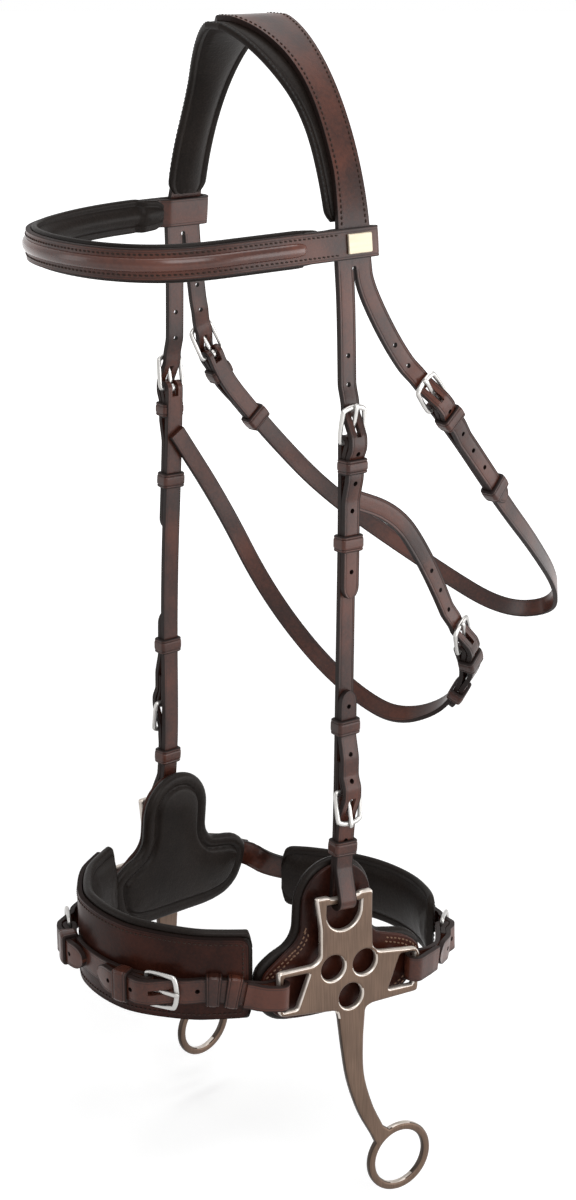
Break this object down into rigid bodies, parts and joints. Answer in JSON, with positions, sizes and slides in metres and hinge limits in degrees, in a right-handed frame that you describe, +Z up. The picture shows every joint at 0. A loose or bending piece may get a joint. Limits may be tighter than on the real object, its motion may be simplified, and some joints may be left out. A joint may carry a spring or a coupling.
{
  "type": "hackamore bridle",
  "caption": "Leather hackamore bridle with padded headpiece, browband and noseband, buckled cheekpieces and metal cheeks.",
  "frame": {"origin": "middle of the headpiece padding's underside, where it rests on the poll", "axes": "+Z up, -Y towards the horse's nose, +X the horse's left side"},
  "size_m": [0.2098, 0.3635, 0.6807],
  "materials": {
    "leather": "semi-matt, dark brown",
    "padding": "matt, nearly black",
    "steel": "polished",
    "bronze": "brushed, polished edges",
    "plate": "polished"
  },
  "bodies": {
    "headstall": {"crown_strap": "leather", "crown_padding": "padding", "browband": "leather", "browband_padding": "padding", "browband_plate": "plate", "cheekpiece_left": "leather", "cheekpiece_right": "leather", "buckle_upper_cheek_left": "steel", "buckle_upper_cheek_right": "steel", "buckle_lower_cheek_left": "steel", "buckle_lower_cheek_right": "steel", "buckle_throat_left": "steel", "buckle_throat_right": "steel", "buckle_jowl": "steel", "buckle_nose_left": "steel", "buckle_nose_right": "steel", "buckle_chin": "steel", "throat_strap": "leather", "jowl_strap": "leather", "jowl_billet": "leather", "noseband_leather": "leather", "noseband_padding": "padding", "nose_strap": "leather", "nose_billet_left": "leather", "nose_billet_right": "leather", "chin_tab": "leather", "chin_strap": "leather", "chin_pad": "padding"},
    "tongue_upper_cheek_left": {"tongue_upper_cheek_left": "steel"},
    "tongue_upper_cheek_right": {"tongue_upper_cheek_right": "steel"},
    "tongue_lower_cheek_left": {"tongue_lower_cheek_left": "steel"},
    "tongue_lower_cheek_right": {"tongue_lower_cheek_right": "steel"},
    "tongue_throat_left": {"tongue_throat_left": "steel"},
    "tongue_throat_right": {"tongue_throat_right": "steel"},
    "tongue_jowl": {"tongue_jowl": "steel"},
    "tongue_nose_left": {"tongue_nose_left": "steel"},
    "tongue_nose_right": {"tongue_nose_right": "steel"},
    "tongue_chin": {"tongue_chin": "steel"},
    "runner_upper_cheek_left": {"runner_upper_cheek_left": "leather"},
    "runner_upper_cheek_right": {"runner_upper_cheek_right": "leather"},
    "runner_lower_cheek_left": {"runner_lower_cheek_left": "leather"},
    "runner_lower_cheek_right": {"runner_lower_cheek_right": "leather"},
    "runner_cheek_foot_left": {"runner_cheek_foot_left": "leather"},
    "runner_cheek_foot_right": {"runner_cheek_foot_right": "leather"},
    "runner_throat_left": {"runner_throat_left": "leather"},
    "runner_throat_right": {"runner_throat_right": "leather"},
    "runner_jowl": {"runner_jowl": "leather"},
    "cheek_left": {"hackamore_cheek_left": "bronze", "cheek_shield_left": "leather", "cheek_padding_left": "padding"},
    "cheek_right": {"hackamore_cheek_right": "bronze", "cheek_shield_right": "leather", "cheek_padding_right": "padding"}
  },
  "joints": [
    {"name": "tongue_upper_cheek_left_hinge", "type": "hinge", "parent": "headstall", "child": "tongue_upper_cheek_left", "pos_m": [0.08341, 0.00505, -0.20891], "axis": [0, 0.9999, -0.013], "range_deg": [0, 25]},
    {"name": "tongue_upper_cheek_right_hinge", "type": "hinge", "parent": "headstall", "child": "tongue_upper_cheek_right", "pos_m": [-0.08341, 0.00505, -0.20891], "axis": [0, -0.9999, 0.013], "range_deg": [0, 25]},
    {"name": "tongue_lower_cheek_left_hinge", "type": "hinge", "parent": "headstall", "child": "tongue_lower_cheek_left", "pos_m": [0.08869, 0.00033, -0.40799], "axis": [-0.0918, -0.9957, 0.0104], "range_deg": [0, 25]},
    {"name": "tongue_lower_cheek_right_hinge", "type": "hinge", "parent": "headstall", "child": "tongue_lower_cheek_right", "pos_m": [-0.08869, 0.00033, -0.40799], "axis": [-0.0918, 0.9957, -0.0104], "range_deg": [0, 25]},
    {"name": "tongue_throat_left_hinge", "type": "hinge", "parent": "headstall", "child": "tongue_throat_left", "pos_m": [0.08264, 0.06702, -0.19659], "axis": [0, 0.7405, 0.6721], "range_deg": [0, 25]},
    {"name": "tongue_throat_right_hinge", "type": "hinge", "parent": "headstall", "child": "tongue_throat_right", "pos_m": [-0.08257, 0.03473, -0.1923], "axis": [0, -0.9197, -0.3926], "range_deg": [0, 25]},
    {"name": "tongue_jowl_hinge", "type": "hinge", "parent": "headstall", "child": "tongue_jowl", "pos_m": [0.07619, 0.09794, -0.3462], "axis": [-0.2534, 0.8024, 0.5402], "range_deg": [0, 25]},
    {"name": "tongue_nose_left_hinge", "type": "hinge", "parent": "headstall", "child": "tongue_nose_left", "pos_m": [0.04006, -0.105, -0.517], "axis": [0, 0, -1], "range_deg": [0, 25]},
    {"name": "tongue_nose_right_hinge", "type": "hinge", "parent": "headstall", "child": "tongue_nose_right", "pos_m": [-0.04006, -0.105, -0.517], "axis": [0, 0, 1], "range_deg": [0, 25]},
    {"name": "tongue_chin_hinge", "type": "hinge", "parent": "headstall", "child": "tongue_chin", "pos_m": [0.06779, 0.09466, -0.53605], "axis": [0.1421, -0.0778, -0.9868], "range_deg": [0, 25]},
    {"name": "runner_upper_cheek_left_slide", "type": "slide", "parent": "headstall", "child": "runner_upper_cheek_left", "axis": [0.0324, -0.0308, -0.999], "range_m": [-0.006, 0.006]},
    {"name": "runner_upper_cheek_right_slide", "type": "slide", "parent": "headstall", "child": "runner_upper_cheek_right", "axis": [-0.0324, -0.0308, -0.999], "range_m": [-0.006, 0.006]},
    {"name": "runner_lower_cheek_left_slide", "type": "slide", "parent": "headstall", "child": "runner_lower_cheek_left", "axis": [0.0046, -0.0108, -0.9999], "range_m": [-0.008, 0.0015]},
    {"name": "runner_lower_cheek_right_slide", "type": "slide", "parent": "headstall", "child": "runner_lower_cheek_right", "axis": [-0.0046, -0.0108, -0.9999], "range_m": [-0.008, 0.0015]},
    {"name": "runner_cheek_foot_left_slide", "type": "slide", "parent": "headstall", "child": "runner_cheek_foot_left", "axis": [0.0156, -0.0559, -0.9983], "range_m": [-0.004, 0.004]},
    {"name": "runner_cheek_foot_right_slide", "type": "slide", "parent": "headstall", "child": "runner_cheek_foot_right", "axis": [-0.0156, -0.0559, -0.9983], "range_m": [-0.004, 0.004]},
    {"name": "runner_throat_left_slide", "type": "slide", "parent": "headstall", "child": "runner_throat_left", "axis": [-0.1217, 0.6706, -0.7318], "range_m": [-0.004, 0.004]},
    {"name": "runner_throat_right_slide", "type": "slide", "parent": "headstall", "child": "runner_throat_right", "axis": [-0.0608, -0.6497, 0.7577], "range_m": [-0.004, 0.004]},
    {"name": "runner_jowl_slide", "type": "slide", "parent": "headstall", "child": "runner_jowl", "axis": [-0.5875, 0.0626, -0.8068], "range_m": [-0.003, 0]},
    {"name": "cheek_left_swing", "type": "hinge", "parent": "headstall", "child": "cheek_left", "pos_m": [0.09023, -0.00307, -0.47348], "axis": [0.9921, -0.1218, 0.0297], "range_deg": [0, 8], "deforming": ["nose_billet_left", "chin_tab"]},
    {"name": "cheek_right_swing", "type": "hinge", "parent": "headstall", "child": "cheek_right", "pos_m": [-0.09023, -0.00307, -0.47348], "axis": [0.9921, 0.1218, -0.0297], "range_deg": [0, 8], "deforming": ["nose_billet_right", "chin_strap"]}
  ]
}
